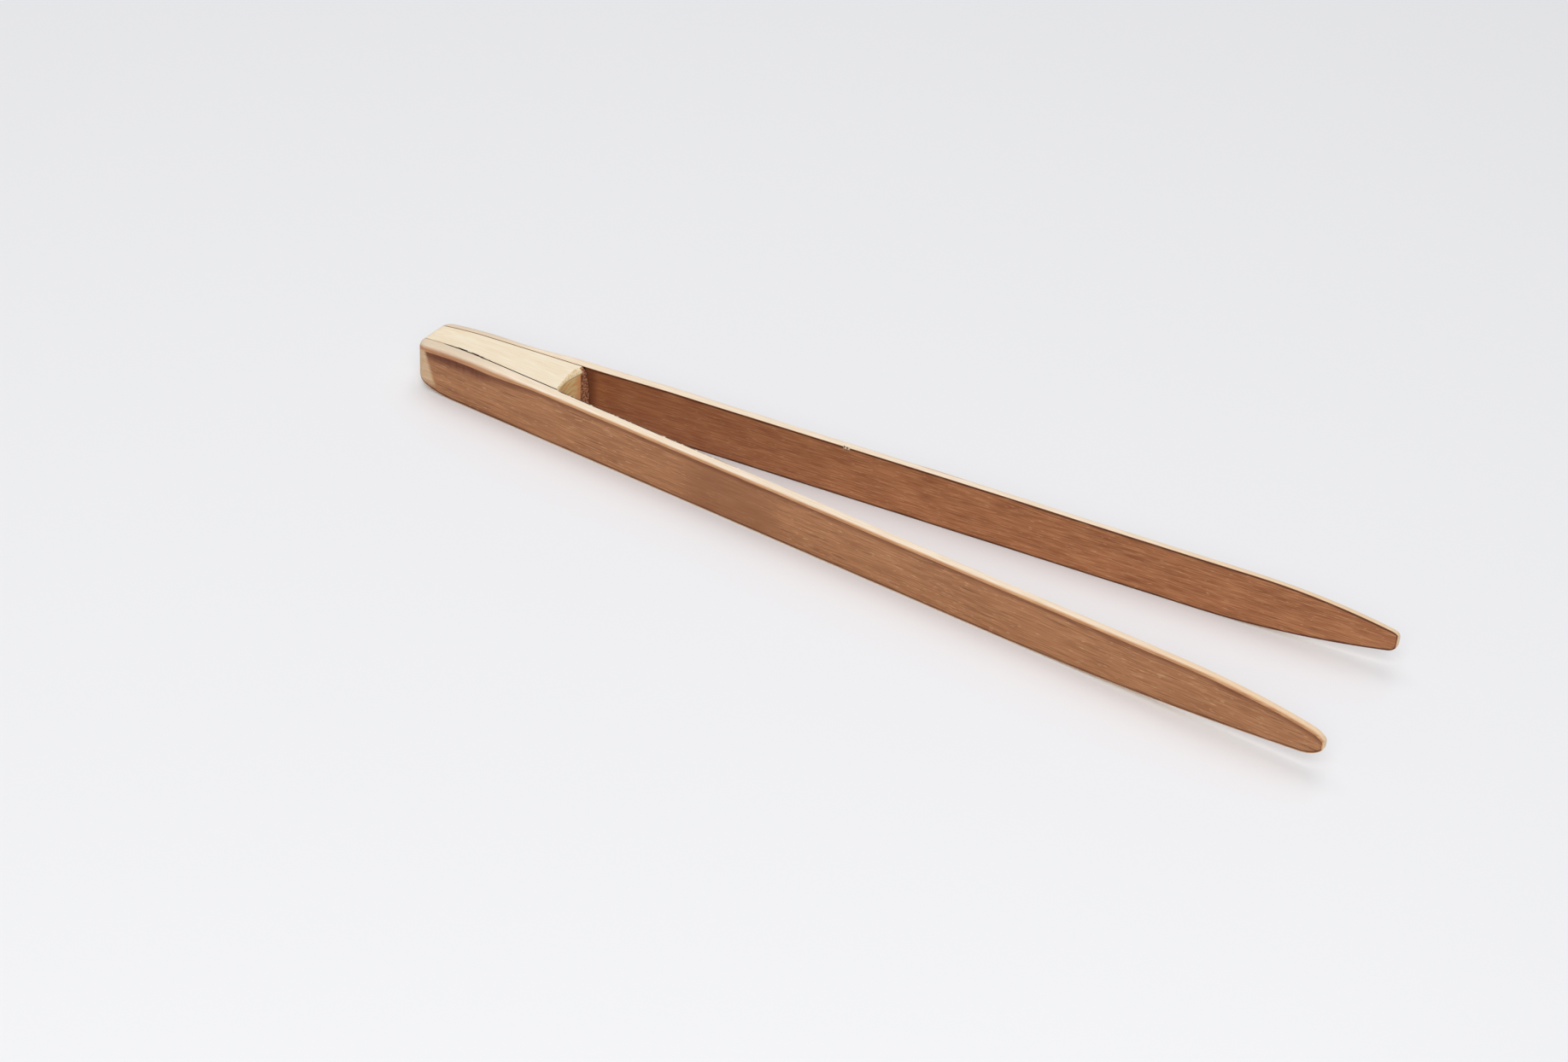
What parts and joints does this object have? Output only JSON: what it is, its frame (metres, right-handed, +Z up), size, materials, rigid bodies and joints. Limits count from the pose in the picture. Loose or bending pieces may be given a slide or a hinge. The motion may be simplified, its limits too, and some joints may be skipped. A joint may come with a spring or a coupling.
{
  "type": "print tongs",
  "caption": "Flat wooden tongs: two thin springy strips splay from a glued wedge block at the head and close onto a print at the tips.",
  "frame": {"origin": "middle of the tongs' length and width, on the surface that they lie flat on", "axes": "+X runs from the head end to the tips, +Y points to the far leg, +Z is up from the surface that the tongs lie on"},
  "size_m": [0.18, 0.0334, 0.01],
  "materials": {
    "brown_wood": "smooth red-brown faces with fine grain, sanded pale along the edges",
    "pale_wood": "sanded pale wood with brown end grain",
    "dark_glue": "thin dark line of set glue"
  },
  "bodies": {
    "head": {"spacer_block": "pale_wood", "near_glue_line": "dark_glue", "far_glue_line": "dark_glue", "near_leg_root": "brown_wood", "far_leg_root": "brown_wood"},
    "near_leg": {"near_leg_blade": "brown_wood"},
    "far_leg": {"far_leg_blade": "brown_wood"}
  },
  "joints": [
    {"name": "near_leg_flex", "type": "hinge", "parent": "head", "child": "near_leg", "pos_m": [-0.038, -0.00721, 0], "axis": [0, 0, 1], "range_deg": [-2.5, 6.85], "stiffness_Nm_per_rad": 1.2},
    {"name": "far_leg_flex", "type": "hinge", "parent": "head", "child": "far_leg", "pos_m": [-0.038, 0.00721, 0], "axis": [0, 0, -1], "range_deg": [-2.5, 6.85], "stiffness_Nm_per_rad": 1.2}
  ]
}
